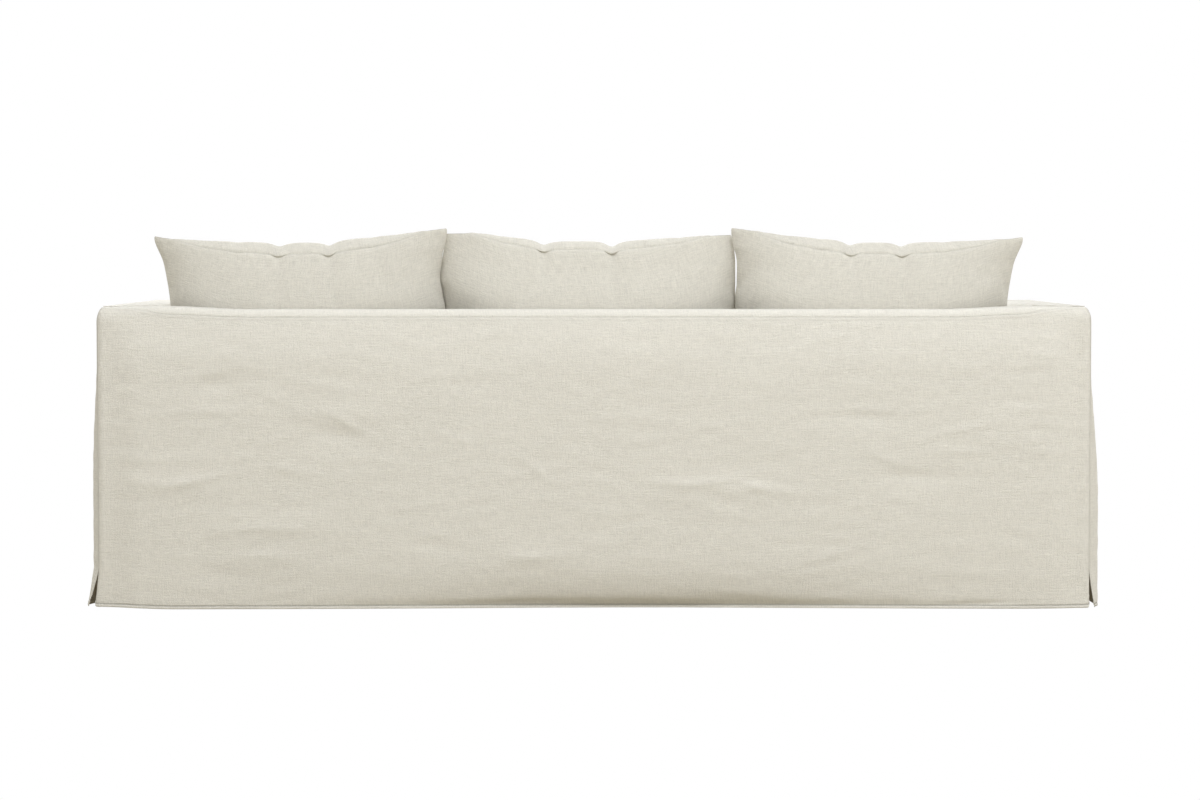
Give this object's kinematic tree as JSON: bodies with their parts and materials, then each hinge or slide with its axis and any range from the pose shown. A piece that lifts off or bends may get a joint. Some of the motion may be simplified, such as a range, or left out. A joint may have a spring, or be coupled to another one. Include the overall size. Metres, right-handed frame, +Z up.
{
  "type": "sofa slipcover with back pillows",
  "caption": "Loose fitted linen slipcover for a square-armed three-seat sofa, hollow and open at the hem, with vented corners and matching filled back pillows",
  "frame": {"origin": "under the cloth of the top rail's band, at the middle of the back, where the sofa's frame holds the cover up", "axes": "+Z up, +X to the sitter's left along the sofa's length, +Y to the back of the sofa; the front of the seat faces -Y"},
  "size_m": [2.313, 0.963, 0.8628],
  "materials": {
    "linen": "washed slubby plain-weave linen, off-white oatmeal, matt",
    "pillow_linen": "the same linen over a soft filling"
  },
  "bodies": {
    "root": {"outer_back": "linen", "inner_back": "linen", "rail_band": "linen", "outer_arm_left": "linen", "outer_arm_right": "linen", "inner_arm_left": "linen", "inner_arm_right": "linen", "arm_front_left": "linen", "arm_front_right": "linen", "arm_band_left": "linen", "arm_band_right": "linen", "seat": "linen", "apron": "linen", "pillow_left": "pillow_linen", "pillow_middle": "pillow_linen", "pillow_right": "pillow_linen"}
  },
  "joints": []
}
